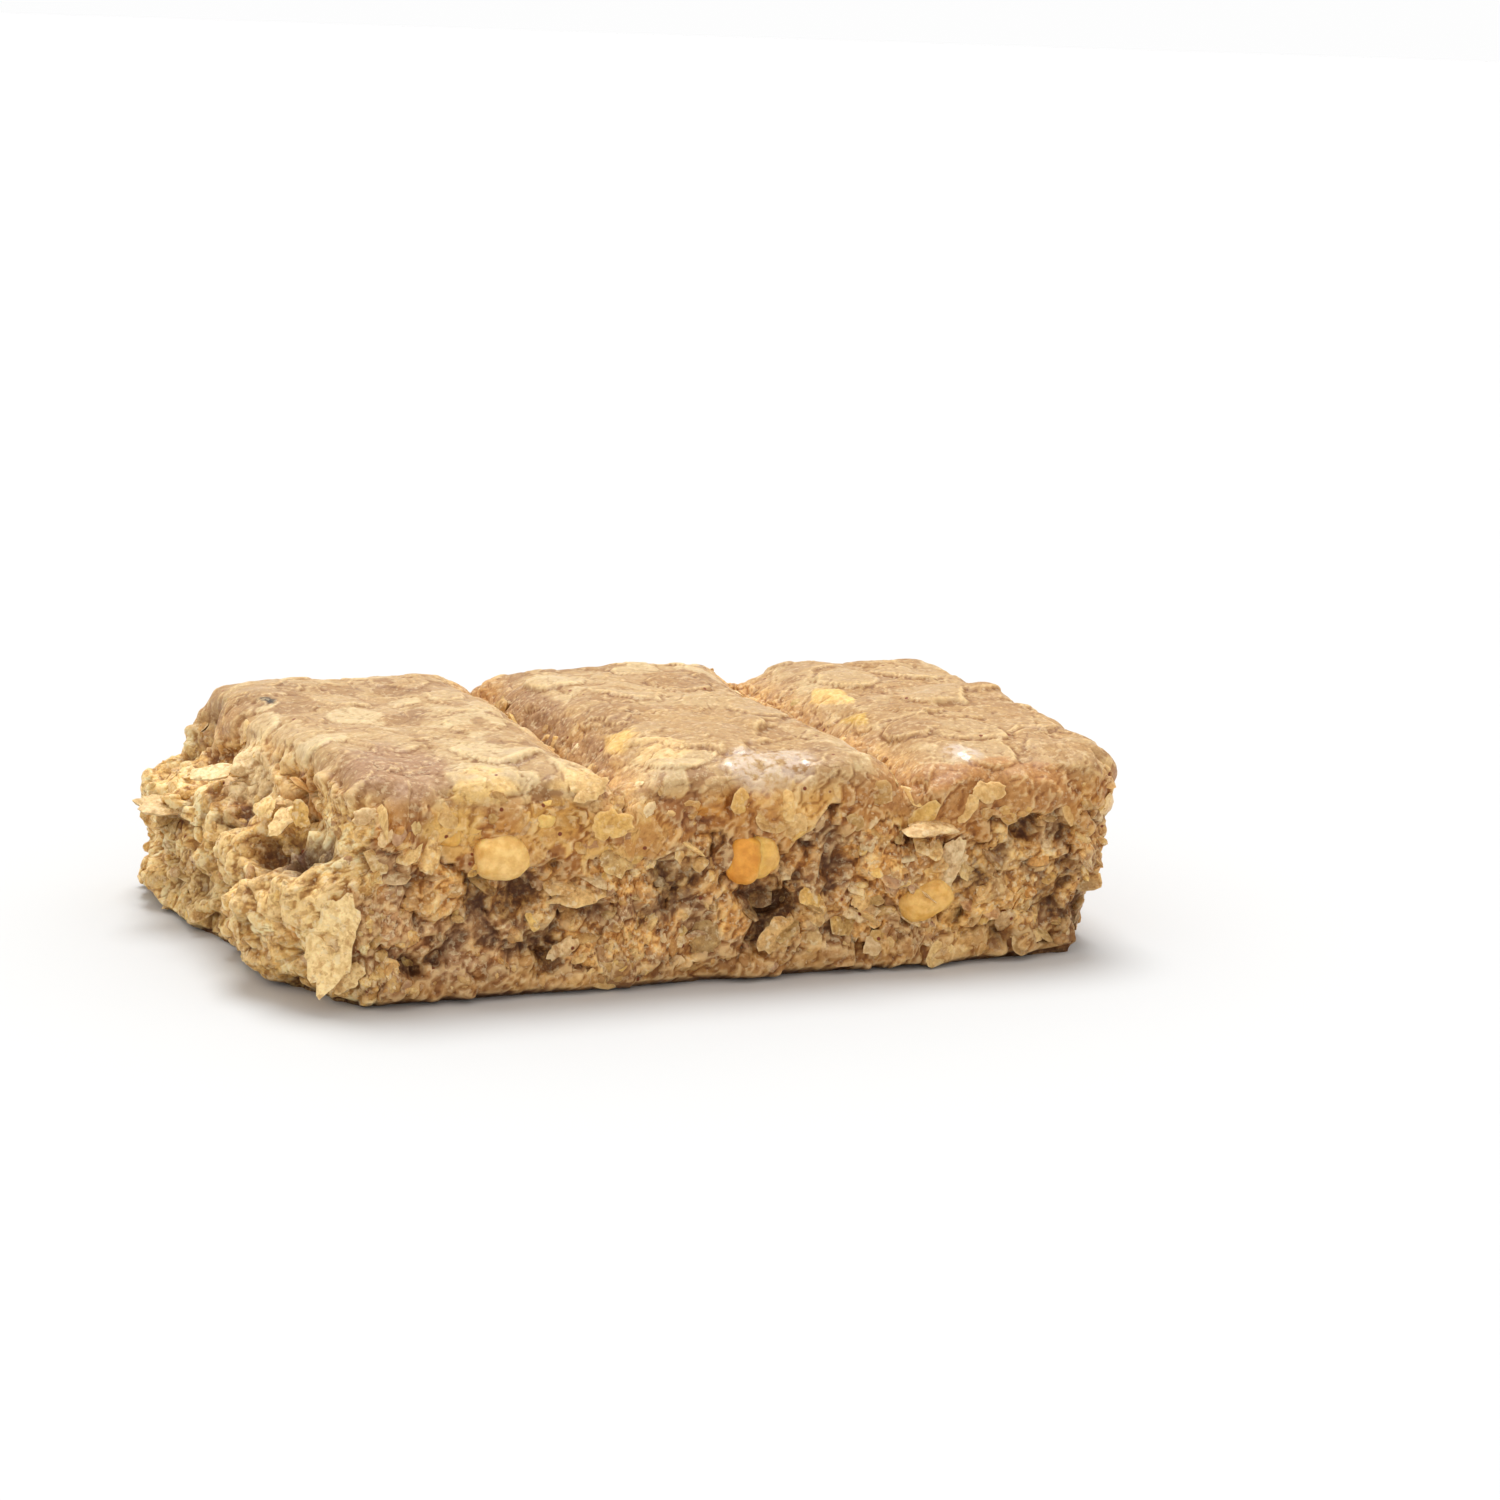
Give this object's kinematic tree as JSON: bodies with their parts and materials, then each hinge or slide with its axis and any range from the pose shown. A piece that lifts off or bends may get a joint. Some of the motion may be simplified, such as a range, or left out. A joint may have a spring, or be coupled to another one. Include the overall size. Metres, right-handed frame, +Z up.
{
  "type": "energy bar",
  "caption": "Scored oat and nut energy bar with one end broken off: domed moulded segments, crumbly sides, flat base.",
  "frame": {"origin": "under the middle of the bar, on the plane it rests on", "axes": "+X along the length, from the broken end to the moulded end; +Y across the bar; +Z up, out of the scored top"},
  "size_m": [0.0713, 0.0411, 0.017],
  "materials": {
    "oat_mass": "pressed rolled oats, nut pieces and syrup: tan, half matt, slightly glossy on the moulded top"
  },
  "bodies": {
    "root": {"oat_bar": "oat_mass"}
  },
  "joints": []
}
